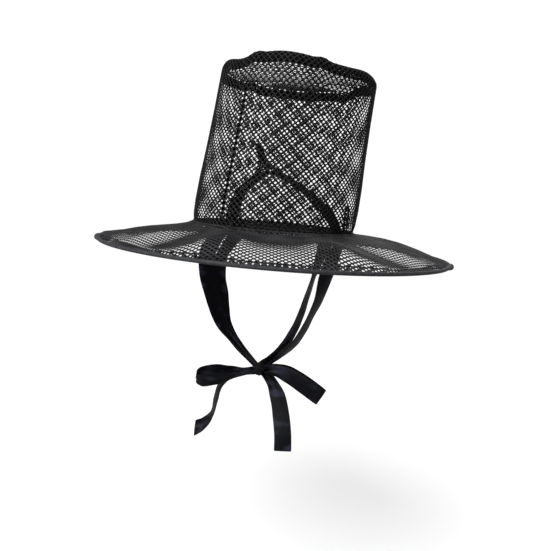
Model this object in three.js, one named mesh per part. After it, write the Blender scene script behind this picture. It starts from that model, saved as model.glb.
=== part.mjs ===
import * as THREE from "three";
import { mergeVertices } from "three/addons/utils/BufferGeometryUtils.js";

// A tall-crowned hat of open black net on a wide brim, with a net strap over the head and a satin
// ribbon tied under the chin. Origin at the middle of the head opening, +Z up, the wearer faces -Y.

// Driving dimensions, in millimetres, angles in degrees
const crownBaseRadius = 89;
const crownTopRadius = 85.2;
const crownHeight = 166;
const crownLeanLeft = 5.5;
const crownLeanBack = 15.4;
const crownWall = 1.2;
const shoulderRadius = 7;
const topSag = 3;
const rimRadius = 192.5;
const rimShiftLeft = 2.4;
const rimShiftBack = 2.4;
const brimDrop = 22.5;
const brimWall = 1.2;
const bindingRadius = 1.75;
const brimHemWidth = 9;
const hemWall = 1;
const topHemDepth = 4;
const baseHemAbove = 6;
const baseHemBelow = 5;
const seamWidth = 4;
const seamAngle = -177.5;
const strapWidth = 16;
const strapWall = 1;
const strapRise = 62;
const strapForward = 11.2;
const strapShiftLeft = 2.4;
const strapTilt = 30;
const strapAngle = 6.5;
const tabReach = 28;
const tabHeight = 27;
const tabWall = 1;
const tapeWidth = 2.6;
const tapeWall = 1;
const tapeHeight = 28;
const ribbonWidth = 20;
const ribbonWall = 1;
const frontRunAngle = -3;
const backRunAngle = 14;
const chinDrop = 165.5;
const chinForward = 4.4;
const chinLeft = 1.6;
const knotRadius = 7;
const loopLength = 75;
const openLoopHalf = 5.5;
const flatLoopHalf = 1.6;
const tailLength = 100;
const gap = 0.3;
const sides = 72;

// The straight part of the crown's wall: where it swells beyond a plain cone
const wallSections = [
  { up: 0, swell: 0 },
  { up: 0.06, swell: 0.02 },
  { up: 0.15, swell: 0.029 },
  { up: 0.3, swell: 0.027 },
  { up: 0.5, swell: 0.0125 },
  { up: 0.75, swell: 0.003 },
  { up: 1, swell: 0 },
];
const shoulderTurns = [0, 30, 60, 90];

// Where the crown's upper edge stands higher or lower, as shares of the crown's height
const rimHumps = [
  { at: -60, reach: 48, rise: 0.042 },
  { at: -78, reach: 9, rise: 0.014 },
  { at: -30, reach: 8, rise: 0.012 },
  { at: -112, reach: 24, rise: 0.03 },
  { at: 10, reach: 20, rise: 0.008 },
  { at: 72, reach: 14, rise: 0.02 },
  { at: 176, reach: 9, rise: 0.018 },
  { at: 92, reach: 9, rise: -0.016 },
];

// The brim from the crown to its edge: its fall as a share of the drop, and how far a fold shows there
const brimSections = [
  { across: 0, drop: 0, fold: 0 },
  { across: 0.06, drop: 0.12, fold: 0.12 },
  { across: 0.16, drop: 0.19, fold: 0.45 },
  { across: 0.31, drop: 0.265, fold: 0.8 },
  { across: 0.47, drop: 0.35, fold: 1 },
  { across: 0.63, drop: 0.48, fold: 1 },
  { across: 0.78, drop: 0.655, fold: 0.75 },
  { across: 0.9, drop: 0.83, fold: 0.35 },
  { across: 1, drop: 1, fold: 0 },
];

// Soft radial folds of the brim, their rise as a share of the drop
const brimFolds = [
  { at: -66, reach: 14, rise: 0.2 },
  { at: -86, reach: 14, rise: -0.2 },
  { at: -16, reach: 14, rise: 0.2 },
  { at: 6, reach: 14, rise: -0.2 },
  { at: 62, reach: 26, rise: 0.1 },
  { at: 108, reach: 24, rise: -0.1 },
  { at: 158, reach: 26, rise: 0.1 },
  { at: -146, reach: 30, rise: -0.24 },
];

// Lumps where the binding laps over itself
const bindingLumps = [
  { at: 26, reach: 6, swell: 0.35 },
  { at: -121, reach: 8, swell: 0.45 },
];

// Half of the strap's arch, from its top to its seat
const strapSections = [
  { out: 0, up: 1 },
  { out: 0.29, up: 0.9 },
  { out: 0.53, up: 0.735 },
  { out: 0.73, up: 0.53 },
  { out: 0.89, up: 0.29 },
  { out: 0.975, up: 0.13 },
];

// Outline of the tab's two edges, as shares of its reach and height above the strap's top
const tabLeftEdge = [
  { side: 0.6, up: 0.03 },
  { side: 0.02, up: 0.13 },
  { side: -0.22, up: 0.25 },
  { side: -0.48, up: 0.58 },
  { side: -0.78, up: 1 },
];
const tabRightEdge = [
  { side: -1.06, up: 0.96 },
  { side: -0.92, up: 0.62 },
  { side: -0.76, up: 0.28 },
  { side: -0.9, up: 0.08 },
];

// The ribbon's runs on the left, from the opening to the chin: side and back as shares of the crown's
// base radius, down as a share of the chin's drop, edge as the direction of the ribbon's width
const frontRun = [
  { side: 0.945, back: -0.1, down: 0.085, edge: 92, wide: 1 },
  { side: 0.963, back: -0.19, down: 0.169, edge: 110, wide: 1 },
  { side: 0.98, back: -0.259, down: 0.254, edge: 125, wide: 1 },
  { side: 0.912, back: -0.283, down: 0.408, edge: 117, wide: 1 },
  { side: 0.82, back: -0.26, down: 0.531, edge: 114, wide: 1 },
  { side: 0.72, back: -0.247, down: 0.635, edge: 108, wide: 1 },
  { side: 0.59, back: -0.23, down: 0.738, edge: 98, wide: 0.95 },
  { side: 0.372, back: -0.171, down: 0.842, edge: 92, wide: 0.75 },
];
const backRun = [
  { side: 0.91, back: 0.21, down: 0.085, edge: 100, wide: 1 },
  { side: 0.93, back: 0.09, down: 0.169, edge: 90, wide: 1 },
  { side: 0.95, back: -0.015, down: 0.262, edge: 86, wide: 1 },
  { side: 0.925, back: -0.074, down: 0.416, edge: 104, wide: 1 },
  { side: 0.832, back: -0.089, down: 0.537, edge: 118, wide: 1 },
  { side: 0.753, back: -0.112, down: 0.639, edge: 116, wide: 1 },
  { side: 0.64, back: -0.15, down: 0.745, edge: 106, wide: 0.95 },
  { side: 0.387, back: -0.127, down: 0.863, edge: 96, wide: 0.75 },
];

// The runs' upper ends against the base hem: down as a share of the hem's reach below the opening,
// ease as how far the ribbon leaves the hem, in its own thickness
const ribbonSeat = [
  { down: 0, ease: 0 },
  { down: 0.5, ease: 0.3 },
  { down: 1.2, ease: 0.8 },
];

// The ways in which the left runs reach the knot
const frontRunEnd = { side: 0.66, back: -0.36, up: 0.66 };
const backRunEnd = { side: 0.82, back: -0.28, up: 0.5 };

// One loop of the bow, out along its back layer, round its end and back: along and down as shares of
// the loop's length, out as a share of its half opening
const openLoop = [
  { along: 0.25, out: -0.5, down: 0.036, wide: 0.32 },
  { along: 0.45, out: -0.9, down: 0.108, wide: 0.6 },
  { along: 0.7, out: -1, down: 0.172, wide: 0.95 },
  { along: 0.905, out: -0.9, down: 0.215, wide: 1 },
  { along: 0.985, out: -0.42, down: 0.25, wide: 0.9 },
  { along: 0.98, out: 0.42, down: 0.282, wide: 0.9 },
  { along: 0.9, out: 0.88, down: 0.287, wide: 1 },
  { along: 0.7, out: 1, down: 0.239, wide: 0.95 },
  { along: 0.45, out: 0.9, down: 0.145, wide: 0.6 },
  { along: 0.25, out: 0.45, down: 0.063, wide: 0.32 },
];
const flatLoop = [
  { along: 0.25, out: -1, down: -0.037, wide: 0.65 },
  { along: 0.47, out: -1.1, down: -0.01, wide: 0.92 },
  { along: 0.74, out: -1.1, down: 0.102, wide: 1 },
  { along: 0.955, out: -1.05, down: 0.219, wide: 1 },
  { along: 0.985, out: -0.6, down: 0.24, wide: 1 },
  { along: 0.985, out: 0.6, down: 0.247, wide: 1 },
  { along: 0.955, out: 1.05, down: 0.233, wide: 1 },
  { along: 0.74, out: 1.1, down: 0.125, wide: 1 },
  { along: 0.47, out: 1.1, down: 0.013, wide: 0.92 },
  { along: 0.25, out: 1, down: -0.028, wide: 0.65 },
];

// The lean of the ribbon's width in each loop: its heading, and how steeply it stands
const openLoopLean = { edge: -45, tilt: 62 };
const flatLoopLean = { edge: 26, tilt: 62 };

// The directions of the two loops, and where their layers lie at the knot: apart as a share of the
// ribbon's thickness, down as a share of the loop's length
const openLoopHeading = -144;
const flatLoopHeading = 26;
const loopEndOut = 0.95;
const loopEndDown = 0.012;

// The bow's free ends from the knot, as shares of the tail's length
const leftTail = [
  { side: 0.124, back: 0.079, down: 0.125, edge: 43, tilt: 0, wide: 0.6 },
  { side: 0.234, back: 0.104, down: 0.295, edge: 40, tilt: 0, wide: 0.92 },
  { side: 0.33, back: 0.094, down: 0.528, edge: 36, tilt: 0, wide: 1 },
  { side: 0.385, back: 0.08, down: 0.7, edge: 36, tilt: 0, wide: 1 },
  { side: 0.415, back: 0.067, down: 0.869, edge: 40, tilt: 0, wide: 1 },
];
const rightTail = [
  { side: -0.166, back: -0.046, down: 0.096, edge: -48, tilt: 0, wide: 0.55 },
  { side: -0.301, back: -0.116, down: 0.175, edge: -48, tilt: 0, wide: 0.85 },
  { side: -0.401, back: -0.191, down: 0.245, edge: -45, tilt: 0, wide: 1 },
  { side: -0.43, back: -0.25, down: 0.37, edge: -33, tilt: 0, wide: 1 },
  { side: -0.38, back: -0.336, down: 0.599, edge: -46, tilt: 14, wide: 1 },
  { side: -0.416, back: -0.421, down: 0.698, edge: -55, tilt: 55, wide: 1 },
  { side: -0.474, back: -0.528, down: 0.764, edge: -60, tilt: 85, wide: 1 },
];

// The ways in which the free ends leave the knot, and how far the ribbon narrows there
const leftTailStart = { side: 0.5, back: 0.36, up: -0.8 };
const rightTailStart = { side: -0.62, back: -0.08, up: -0.78 };
const pinch = 0.32;

// The knot's profile round the axis of the two loops, as shares of its radius
const knotProfile = [
  { out: 0, along: -0.8 },
  { out: 0.55, along: -0.8 },
  { out: 0.85, along: -0.48 },
  { out: 0.96, along: 0 },
  { out: 0.85, along: 0.48 },
  { out: 0.55, along: 0.8 },
  { out: 0, along: 0.8 },
];

// Values that follow from the sizes above
const straightHeight = crownHeight - shoulderRadius;
const brimInner = wallRadius(brimWall / straightHeight) + gap;
const brimEdge = rimRadius - 2 * bindingRadius - gap;
const openingRadius = (crownBaseRadius - crownWall - gap - hemWall) * Math.cos(Math.PI / sides);
const knotCentre = new THREE.Vector3(chinLeft, -chinForward, -chinDrop);
const angles = Array.from({ length: sides }, (_, i) => (360 * i) / sides);

const radians = THREE.MathUtils.degToRad;

function valueAt(table, key, at, column) {
  const last = table.length - 1;
  let i = 0;
  while (i < last - 1 && at > table[i + 1][key]) i++;
  const share = (at - table[i][key]) / (table[i + 1][key] - table[i][key]);
  const held = Math.min(share, 1);
  return THREE.MathUtils.lerp(table[i][column], table[i + 1][column], Math.max(held, 0));
}

// Sum of smooth bumps round the hat
function bumpsAt(table, column, angle) {
  return table.reduce((sum, bump) => {
    const away = Math.abs(THREE.MathUtils.euclideanModulo(angle - bump.at + 180, 360) - 180) / bump.reach;
    return away < 1 ? sum + bump[column] * Math.cos((away * Math.PI) / 2) ** 2 : sum;
  }, 0);
}

// A closed solid through sections with the same number of points, capped unless it closes on itself.
// The second half of a section lies back to back with the first, and its facets are split the same way
function loft(sections, closed) {
  const count = sections[0].length;
  const faces = [];
  const spans = closed ? sections.length : sections.length - 1;
  for (let i = 0; i < spans; i++) {
    const here = i * count;
    const next = ((i + 1) % sections.length) * count;
    for (let j = 0; j < count; j++) {
      const k = (j + 1) % count;
      if (j < count / 2) faces.push([here + j, next + j, next + k], [here + j, next + k, here + k]);
      else faces.push([here + j, next + j, here + k], [next + j, next + k, here + k]);
    }
  }
  if (!closed) {
    const last = (sections.length - 1) * count;
    for (let j = 1; j < count - 1; j++) {
      faces.push([0, j, j + 1], [last, last + j + 1, last + j]);
    }
  }
  return solid(sections.flat(), faces);
}

// Merges shared points, drops flat faces and turns the faces outwards
function solid(points, faces) {
  const loose = new THREE.BufferGeometry().setFromPoints(points);
  loose.setIndex(faces.flat());
  const geometry = mergeVertices(loose, 1e-3);
  const index = Array.from(geometry.index.array);
  const kept = [];
  let volume = 0;
  const corner = (i) => new THREE.Vector3().fromBufferAttribute(geometry.attributes.position, i);
  for (let i = 0; i < index.length; i += 3) {
    const [a, b, c] = index.slice(i, i + 3);
    if (a === b || b === c || c === a) continue;
    kept.push([a, b, c]);
    volume += corner(a).dot(corner(b).cross(corner(c)));
  }
  geometry.setIndex(kept.flatMap(([a, b, c]) => (volume > 0 ? [a, b, c] : [a, c, b])));
  geometry.computeVertexNormals();
  return geometry;
}

// The point at a share of the way round, on the flat side between two corners of the ring
function onFacet(pointAt, angle) {
  const step = 360 / sides;
  const first = Math.floor(angle / step) * step;
  const a = pointAt(first);
  const b = pointAt(first + step);
  const turn = Math.tan(radians(angle - first - step / 2)) / Math.tan(radians(step / 2));
  return a.lerp(b, (turn + 1) / 2);
}

// A flat strip: each station has a centre, a width and the direction of the width or of the face
function strip(stations, thickness) {
  const sections = stations.map((station, i) => {
    const before = stations[Math.max(i - 1, 0)].centre;
    const after = stations[Math.min(i + 1, stations.length - 1)].centre;
    const along = after.clone().sub(before).normalize();
    const across = station.face ? along.clone().cross(station.face) : station.edge.clone();
    across.addScaledVector(along, -across.dot(along)).setLength(station.width / 2);
    const through = along.clone().cross(across).setLength(thickness / 2);
    return [
      [1, 1],
      [1, -1],
      [-1, -1],
      [-1, 1],
    ].map(([s, t]) => station.centre.clone().addScaledVector(across, s).addScaledVector(through, t));
  });
  return loft(sections, false);
}

// Stations along a smooth curve through rows of centre, edge angles and width
function smoothStations(rows, perSpan) {
  const curve = new THREE.CatmullRomCurve3(rows.map((row) => row.centre), false, "centripetal");
  const spans = rows.length - 1;
  const total = spans * perSpan;
  return Array.from({ length: total + 1 }, (_, i) => {
    const span = Math.min(Math.floor(i / perSpan), spans - 1);
    const share = i / perSpan - span;
    const mix = (name) => THREE.MathUtils.lerp(rows[span][name], rows[span + 1][name], share);
    return {
      centre: curve.getPoint(i / total),
      edge: heading(mix("edge"), mix("tilt")),
      width: mix("width"),
    };
  });
}

function heading(azimuth, tilt) {
  const level = Math.cos(radians(tilt));
  return new THREE.Vector3(
    level * Math.cos(radians(azimuth)),
    level * Math.sin(radians(azimuth)),
    Math.sin(radians(tilt)),
  );
}

function wallRadius(up) {
  const cone = THREE.MathUtils.lerp(crownBaseRadius, crownTopRadius, up);
  return cone + crownBaseRadius * valueAt(wallSections, "up", up, "swell");
}

function rimHeight(angle) {
  return crownHeight * (1 + bumpsAt(rimHumps, "rise", angle));
}

// A point of the crown's wall, inset from its outer face; turn runs round the shoulder
function wallPoint(up, turn, angle, inset) {
  const shoulder = shoulderRadius - inset;
  const radius = wallRadius(up) - shoulderRadius + shoulder * Math.cos(radians(turn));
  const height = (rimHeight(angle) - shoulderRadius) * up + shoulder * Math.sin(radians(turn));
  return new THREE.Vector3(
    crownLeanLeft * up + radius * Math.cos(radians(angle)),
    crownLeanBack * up + radius * Math.sin(radians(angle)),
    height,
  );
}

// A ring of the crown's wall between two insets
function wallRing(rows, outer, inner) {
  const section = (angle) => [
    ...rows.map((row) => wallPoint(row.up, row.turn, angle, outer)),
    ...rows.map((row) => wallPoint(row.up, row.turn, angle, inner)).reverse(),
  ];
  return loft(angles.map(section), true);
}

const shoulderRows = shoulderTurns.map((turn) => ({ up: 1, turn }));
const straightRows = wallSections.slice(0, -1).map((row) => ({ up: row.up, turn: 0 }));
const liningOuter = crownWall + gap;
const liningInner = crownWall + gap + hemWall;
const topHemStart = 1 - topHemDepth / straightHeight;
const baseHemTop = baseHemAbove / straightHeight;

function crownWallSolid() {
  return wallRing([...straightRows, ...shoulderRows], 0, crownWall);
}

function crownTopSolid() {
  const edge = wallRadius(1) - shoulderRadius - gap;
  const surface = (share, angle, down) => {
    const rise = (rimHeight(angle) - crownHeight) * share ** 2;
    return new THREE.Vector3(
      crownLeanLeft + edge * share * Math.cos(radians(angle)),
      crownLeanBack + edge * share * Math.sin(radians(angle)),
      crownHeight + rise - topSag * (1 - share ** 2) - down,
    );
  };
  const rings = [0, 0.4, 0.75, 1];
  const section = (angle) => [
    ...rings.map((share) => surface(share, angle, 0)),
    ...rings.map((share) => surface(share, angle, crownWall)).reverse(),
  ];
  return loft(angles.map(section), true);
}

function crownTopHemSolid() {
  const rows = [{ up: topHemStart, turn: 0 }, ...shoulderRows.slice(0, -1)];
  return wallRing(rows, liningOuter, liningInner);
}

function crownBaseHemSolid() {
  const rows = [-baseHemBelow / straightHeight, 0, baseHemTop].map((up) => ({ up, turn: 0 }));
  return wallRing(rows, liningOuter, liningInner);
}

// The lapped seam runs up the inside of the wall between the two hems
function crownSeamSolid() {
  const start = (baseHemAbove + gap) / straightHeight;
  const end = topHemStart - gap / straightHeight;
  const ups = [start, ...wallSections.map((row) => row.up).filter((up) => up > start && up < end), end];
  const half = (seamWidth / 2 / crownBaseRadius) * THREE.MathUtils.RAD2DEG;
  const corners = [
    [-half, liningOuter],
    [half, liningOuter],
    [half, liningInner],
    [-half, liningInner],
  ];
  const sections = ups.map((up) =>
    corners.map(([turn, inset]) => onFacet((angle) => wallPoint(up, 0, angle, inset), seamAngle + turn)),
  );
  return loft(sections, false);
}

function brimPoint(across, angle, down) {
  const radius = THREE.MathUtils.lerp(brimInner, brimEdge, across);
  const fall = brimDrop * valueAt(brimSections, "across", across, "drop");
  const fold = brimDrop * bumpsAt(brimFolds, "rise", angle) * valueAt(brimSections, "across", across, "fold");
  return new THREE.Vector3(
    rimShiftLeft * across + radius * Math.cos(radians(angle)),
    rimShiftBack * across + radius * Math.sin(radians(angle)),
    brimWall - fall + fold - down,
  );
}

function brimRing(start, top, bottom) {
  const rows = [start, ...brimSections.map((row) => row.across).filter((across) => across > start)];
  const section = (angle) => [
    ...rows.map((across) => brimPoint(across, angle, top)),
    ...rows.map((across) => brimPoint(across, angle, bottom)).reverse(),
  ];
  return loft(angles.map(section), true);
}

function brimSolid() {
  return brimRing(0, 0, brimWall);
}

function brimHemSolid() {
  const start = 1 - brimHemWidth / (brimEdge - brimInner);
  return brimRing(start, brimWall + gap, brimWall + gap + hemWall);
}

// The binding is a six-sided tube with a flat towards the brim's edge
function brimBindingSolid() {
  const height = brimWall - brimDrop - (brimWall + gap + hemWall) / 2;
  const section = (angle) => {
    const flat = bindingRadius * (1 + bumpsAt(bindingLumps, "swell", angle));
    const centre = brimEdge + gap + flat;
    return [30, 90, 150, 210, 270, 330].map((turn) => {
      const out = centre + (flat / Math.cos(radians(30))) * Math.cos(radians(turn));
      return new THREE.Vector3(
        rimShiftLeft + out * Math.cos(radians(angle)),
        rimShiftBack + out * Math.sin(radians(angle)),
        height + (flat / Math.cos(radians(30))) * Math.sin(radians(turn)),
      );
    });
  };
  return loft(angles.map(section), true);
}

// Distance from the axis at which a flat strip's outer corners clear the base hem
function seatRadius(width, thickness) {
  return Math.sqrt((openingRadius - gap) ** 2 - (width / 2) ** 2) - thickness / 2;
}

// One side of the strap's arch at a row, with side = 1 on the left and -1 on the right
function strapRow(row, side) {
  const seat = seatRadius(strapWidth, strapWall);
  const seatBack = seat * Math.sin(radians(strapAngle));
  const turn = strapAngle * row.out;
  const knee = baseHemAbove / strapRise;
  const lift = Math.max(row.up - knee, 0) / (1 - knee);
  return {
    centre: new THREE.Vector3(
      side * row.out * seat * Math.cos(radians(strapAngle)) + strapShiftLeft * lift,
      THREE.MathUtils.lerp(seatBack, -strapForward, lift),
      strapRise * row.up,
    ),
    edge: 90 + side * turn,
    tilt: strapTilt * lift,
    width: strapWidth,
  };
}

function strapStations() {
  const foot = { out: 1, up: (gap + hemWall) / strapRise };
  const knee = { out: 0.99, up: baseHemAbove / strapRise };
  const half = [...strapSections, knee, foot];
  const right = half.map((row) => strapRow(row, -1)).reverse();
  const left = half.slice(1).map((row) => strapRow(row, 1));
  return smoothStations([...right, ...left], 2);
}

function headStrapSolid() {
  return strip(strapStations(), strapWall);
}

// A flat piece of net that stands on the middle of the strap and narrows to a leaning tab
function strapTabSolid() {
  const above = strapWall + gap;
  const foot = strapStations()
    .map((station) => station.centre)
    .filter((centre) => Math.abs(centre.x - strapShiftLeft) < tabReach)
    .map((centre) => new THREE.Vector2(centre.x, centre.z + above));
  const place = (row) =>
    new THREE.Vector2(strapShiftLeft + row.side * tabReach, strapRise + above + row.up * tabHeight);
  const outline = new THREE.Shape();
  outline.moveTo(foot[0].x, foot[0].y);
  foot.slice(1).forEach((point) => outline.lineTo(point.x, point.y));
  outline.splineThru(tabLeftEdge.map(place));
  outline.lineTo(place(tabRightEdge[0]).x, place(tabRightEdge[0]).y);
  outline.splineThru(tabRightEdge.slice(1).map(place));
  const blank = new THREE.ExtrudeGeometry(outline, { depth: tabWall, bevelEnabled: false, curveSegments: 8 });
  blank.rotateX(Math.PI / 2);
  blank.translate(0, -strapForward + tabWall / 2, 0);
  blank.deleteAttribute("normal");
  blank.deleteAttribute("uv");
  const merged = mergeVertices(blank, 1e-3);
  merged.computeVertexNormals();
  return merged;
}

// A narrow tape that stands up from the base hem a little behind the strap's left end
function strapLoopSolid() {
  const seat = seatRadius(tapeWidth, tapeWall);
  const strapHalf = (strapWidth / 2 / seat) * THREE.MathUtils.RAD2DEG;
  const tapeTurn = (tapeWidth / seat) * THREE.MathUtils.RAD2DEG;
  const first = strapAngle + strapHalf + 3 * tapeTurn;
  const spread = 4.5 * tapeTurn;
  const middle = first + spread / 2;
  const arch = (spread / 2 / THREE.MathUtils.RAD2DEG) * seat;
  const rows = [
    { turn: first, up: gap + hemWall },
    { turn: first, up: (tapeHeight - arch) / 2 },
    { turn: first, up: tapeHeight - arch },
    ...[150, 120, 90, 60, 30].map((step) => ({
      turn: middle + (spread / 2) * Math.cos(radians(step)),
      up: tapeHeight - arch + arch * Math.sin(radians(step)),
    })),
    { turn: first + spread, up: tapeHeight - arch },
    { turn: first + spread, up: (tapeHeight - arch) / 2 },
    { turn: first + spread, up: gap + hemWall },
  ];
  const stations = rows.map((row) => {
    const face = heading(row.turn, 0);
    return { centre: face.clone().multiplyScalar(seat).setZ(row.up), face, width: tapeWidth };
  });
  return strip(stations, tapeWall);
}

// The place just off the knot's surface in a direction
function offKnot(direction) {
  const way = new THREE.Vector3(direction.side, direction.back, direction.up);
  return way.setLength(knotRadius + gap).add(knotCentre);
}

// A run of the ribbon from its seat inside the opening to the knot, mirrored for the right
function ribbonRun(seatAngle, rows, end, side) {
  const seat = seatRadius(ribbonWidth, ribbonWall);
  const seated = ribbonSeat.map((row) => ({
    centre: heading(seatAngle, 0).multiplyScalar(seat - row.ease * ribbonWall),
    down: gap + row.down * baseHemBelow,
    edge: 90 + seatAngle,
    wide: 1,
  }));
  const free = rows.map((row) => ({
    centre: new THREE.Vector3(row.side, row.back, 0).multiplyScalar(crownBaseRadius),
    down: row.down * chinDrop,
    edge: row.edge,
    wide: row.wide,
  }));
  const stations = [...seated, ...free].map((row) => ({
    centre: new THREE.Vector3(side * row.centre.x, row.centre.y, -row.down),
    edge: side > 0 ? row.edge : 180 - row.edge,
    tilt: 0,
    width: row.wide * ribbonWidth,
  }));
  const centre = offKnot({ ...end, side: side * end.side });
  const last = { centre, edge: stations.at(-1).edge, tilt: 0, width: pinch * ribbonWidth };
  return strip(smoothStations([...stations, last], 2), ribbonWall);
}

// A loop of the bow: both ends at the knot, the ribbon's width upright there and leaning further out
function bowLoop(azimuth, rows, half, lean) {
  const along = heading(azimuth, 0);
  const out = heading(azimuth + (Math.cos(radians(azimuth)) < 0 ? 90 : -90), 0);
  const place = (row) =>
    knotCentre
      .clone()
      .addScaledVector(along, row.along * loopLength)
      .addScaledVector(out, row.out * half)
      .add(new THREE.Vector3(0, 0, -row.down * loopLength));
  const start = (knotRadius + gap) / loopLength;
  const nearKnot = ribbonWall * loopEndOut;
  const ends = [-nearKnot, nearKnot].map((offset) => ({
    along: start,
    out: offset / half,
    down: loopEndDown,
    wide: pinch,
  }));
  const placed = [ends[0], ...rows, ends[1]].map((row) => ({
    centre: place(row),
    edge: lean.edge,
    tilt: row.wide > pinch ? lean.tilt : 90,
    width: row.wide * ribbonWidth,
  }));
  return strip(smoothStations(placed, 2), ribbonWall);
}

function bowTail(rows, start) {
  const placed = rows.map((row) => ({
    centre: knotCentre
      .clone()
      .add(new THREE.Vector3(row.side, row.back, -row.down).multiplyScalar(tailLength)),
    edge: row.edge,
    tilt: row.tilt,
    width: row.wide * ribbonWidth,
  }));
  const first = { ...placed[0], centre: offKnot(start), width: pinch * ribbonWidth };
  return strip(smoothStations([first, ...placed], 3), ribbonWall);
}

function chinKnotSolid() {
  const profile = knotProfile.map((row) => new THREE.Vector2(row.out * knotRadius, row.along * knotRadius));
  const barrel = new THREE.LatheGeometry(profile, 12);
  barrel.rotateZ(Math.PI / 2);
  barrel.rotateZ(radians(flatLoopHeading));
  barrel.translate(knotCentre.x, knotCentre.y, knotCentre.z);
  const position = barrel.attributes.position;
  const points = Array.from({ length: position.count }, (_, i) =>
    new THREE.Vector3().fromBufferAttribute(position, i),
  );
  const index = Array.from(barrel.index.array);
  const faces = index.flatMap((_, i) => (i % 3 ? [] : [index.slice(i, i + 3)]));
  return solid(points, faces);
}

function cloth(color, roughness) {
  return new THREE.MeshStandardMaterial({ color, roughness, metalness: 0 });
}

const hat = new THREE.Group();

function addPiece(name, geometry, material) {
  const mesh = new THREE.Mesh(geometry, material);
  mesh.name = name;
  hat.add(mesh);
}

const netBlack = 0x17171a;
const bindingGrey = 0x3a3b3f;
const satinBlack = 0x0b0c12;

addPiece("crown_wall", crownWallSolid(), cloth(netBlack, 0.7));
addPiece("crown_top", crownTopSolid(), cloth(netBlack, 0.7));
addPiece("crown_top_hem", crownTopHemSolid(), cloth(netBlack, 0.75));
addPiece("crown_base_hem", crownBaseHemSolid(), cloth(netBlack, 0.75));
addPiece("crown_seam", crownSeamSolid(), cloth(netBlack, 0.75));
addPiece("brim", brimSolid(), cloth(netBlack, 0.7));
addPiece("brim_hem", brimHemSolid(), cloth(netBlack, 0.75));
addPiece("brim_binding", brimBindingSolid(), cloth(bindingGrey, 0.6));
addPiece("head_strap", headStrapSolid(), cloth(netBlack, 0.75));
addPiece("strap_tab", strapTabSolid(), cloth(netBlack, 0.75));
addPiece("strap_loop", strapLoopSolid(), cloth(netBlack, 0.75));
for (const [name, side] of [["left", 1], ["right", -1]]) {
  const front = ribbonRun(frontRunAngle, frontRun, frontRunEnd, side);
  const back = ribbonRun(backRunAngle, backRun, backRunEnd, side);
  addPiece(`ribbon_${name}_front`, front, cloth(satinBlack, 0.35));
  addPiece(`ribbon_${name}_back`, back, cloth(satinBlack, 0.35));
}
addPiece("chin_knot", chinKnotSolid(), cloth(satinBlack, 0.35));
const rightLoop = bowLoop(openLoopHeading, openLoop, openLoopHalf, openLoopLean);
const leftLoop = bowLoop(flatLoopHeading, flatLoop, flatLoopHalf, flatLoopLean);
addPiece("bow_loop_right", rightLoop, cloth(satinBlack, 0.35));
addPiece("bow_loop_left", leftLoop, cloth(satinBlack, 0.35));
addPiece("bow_tail_right", bowTail(rightTail, rightTailStart), cloth(satinBlack, 0.35));
addPiece("bow_tail_left", bowTail(leftTail, leftTailStart), cloth(satinBlack, 0.35));

export default hat;
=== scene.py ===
import bpy
import bmesh
import math
import numpy as np
from mathutils import Matrix, Vector


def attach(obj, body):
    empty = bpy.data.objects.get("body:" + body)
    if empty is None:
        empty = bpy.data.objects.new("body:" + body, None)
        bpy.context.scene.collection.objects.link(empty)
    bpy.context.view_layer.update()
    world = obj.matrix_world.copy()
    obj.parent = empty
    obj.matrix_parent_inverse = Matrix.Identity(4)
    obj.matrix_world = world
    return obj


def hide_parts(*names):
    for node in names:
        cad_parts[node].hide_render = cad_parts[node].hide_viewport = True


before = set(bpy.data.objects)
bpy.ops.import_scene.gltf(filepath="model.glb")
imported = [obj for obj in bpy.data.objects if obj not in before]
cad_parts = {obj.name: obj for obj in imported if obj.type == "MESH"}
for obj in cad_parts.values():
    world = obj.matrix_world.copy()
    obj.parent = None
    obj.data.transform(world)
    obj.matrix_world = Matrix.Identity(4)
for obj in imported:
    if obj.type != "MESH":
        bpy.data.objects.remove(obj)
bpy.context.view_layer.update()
mm = 0.001


# shared helpers
def startPiece():
    if bpy.context.object and bpy.context.object.mode != "OBJECT":
        bpy.ops.object.mode_set(mode="OBJECT")
    bpy.ops.object.select_all(action="DESELECT")


def readPoints(piece):
    points = np.empty(len(piece.data.vertices) * 3)
    piece.data.vertices.foreach_get("co", points)
    return points.reshape(-1, 3)


def writePoints(piece, points):
    piece.data.vertices.foreach_set("co", np.asarray(points, float).ravel())
    piece.data.update()


def remapUv(piece, change):
    layer = piece.data.uv_layers.active.data
    uv = np.empty(len(layer) * 2)
    layer.foreach_get("uv", uv)
    layer.foreach_set("uv", change(uv.reshape(-1, 2)).ravel())


def applyModifier(piece, kind, **values):
    bpy.context.view_layer.objects.active = piece
    bpy.ops.object.modifier_add(type=kind)
    modifier = piece.modifiers[-1]
    for key, value in values.items():
        setattr(modifier, key, value)
    bpy.ops.object.modifier_apply(modifier=modifier.name)


def selectOnly(piece, kind, chosen):
    # in edit mode: selects the edges or faces for which chosen is true
    bpy.ops.mesh.select_mode(type=kind)
    bpy.ops.mesh.select_all(action="DESELECT")
    form = bmesh.from_edit_mesh(piece.data)
    for part in form.edges if kind == "EDGE" else form.faces:
        part.select = chosen(part)
    bmesh.update_edit_mesh(piece.data)


def cutRings(piece, height, rings):
    # cuts the upright edges of a cylinder, and leaves it in edit mode
    def upright(edge):
        return abs(edge.verts[0].co.z - edge.verts[1].co.z) > height / 2

    bpy.ops.object.mode_set(mode="EDIT")
    selectOnly(piece, "EDGE", upright)
    bpy.ops.mesh.subdivide(number_cuts=rings - 1)


def finishPiece(piece, material, node):
    piece.data.materials.clear()
    piece.data.materials.append(material)
    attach(piece, "root")
    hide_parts(node)


def joinPieces(pieces, name):
    startPiece()
    for piece in pieces:
        piece.select_set(True)
    bpy.context.view_layer.objects.active = pieces[0]
    bpy.ops.object.join()
    pieces[0].name = name


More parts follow.
